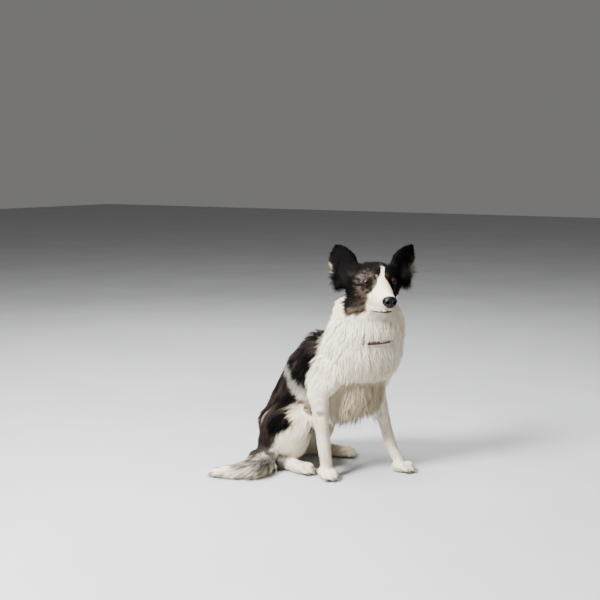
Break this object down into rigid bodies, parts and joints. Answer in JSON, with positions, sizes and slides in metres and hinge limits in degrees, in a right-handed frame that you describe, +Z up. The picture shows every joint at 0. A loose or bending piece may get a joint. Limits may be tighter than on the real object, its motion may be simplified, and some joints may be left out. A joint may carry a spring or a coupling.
{
  "type": "sitting dog",
  "caption": "Life-size sitting collie-type dog with pricked ears, long coat and a thin collar, as a still museum model.",
  "frame": {"origin": "middle of the footprint box, on the floor", "axes": "+Z up; the dog's hips face -Y, so +X is its left side and +Y is behind it"},
  "size_m": [0.4168, 0.5008, 0.6491],
  "materials": {
    "coat": "long soft hair, white with a dark saddle",
    "nose_leather": "moist, finely pebbled",
    "eye": "wet gloss",
    "claw": "worn horn",
    "collar": "plain, softened by wear"
  },
  "bodies": {
    "root": {"head": "coat", "jaw": "coat", "nose": "nose_leather", "eye_right": "eye", "eye_left": "eye", "ear_right": "coat", "ear_left": "coat", "neck": "coat", "collar": "collar", "trunk": "coat", "brisket": "coat", "forearm_left": "coat", "forearm_right": "coat", "front_claw_left_1": "claw", "front_claw_left_2": "claw", "front_claw_left_3": "claw", "front_claw_left_4": "claw", "front_claw_right_1": "claw", "front_claw_right_2": "claw", "front_claw_right_3": "claw", "front_claw_right_4": "claw", "front_paw_left": "coat", "front_paw_right": "coat", "hind_claw_left_1": "claw", "hind_claw_left_2": "claw", "hind_claw_left_3": "claw", "hind_claw_left_4": "claw", "hind_claw_right_1": "claw", "hind_claw_right_2": "claw", "hind_claw_right_3": "claw", "hind_claw_right_4": "claw", "hind_foot_left": "coat", "hind_foot_right": "coat", "hind_paw_left": "coat", "hind_paw_right": "coat", "shank_left": "coat", "shank_right": "coat", "tail_root": "coat", "tail_tip": "coat", "thigh_left": "coat", "thigh_right": "coat", "upper_arm_left": "coat", "upper_arm_right": "coat"}
  },
  "joints": []
}
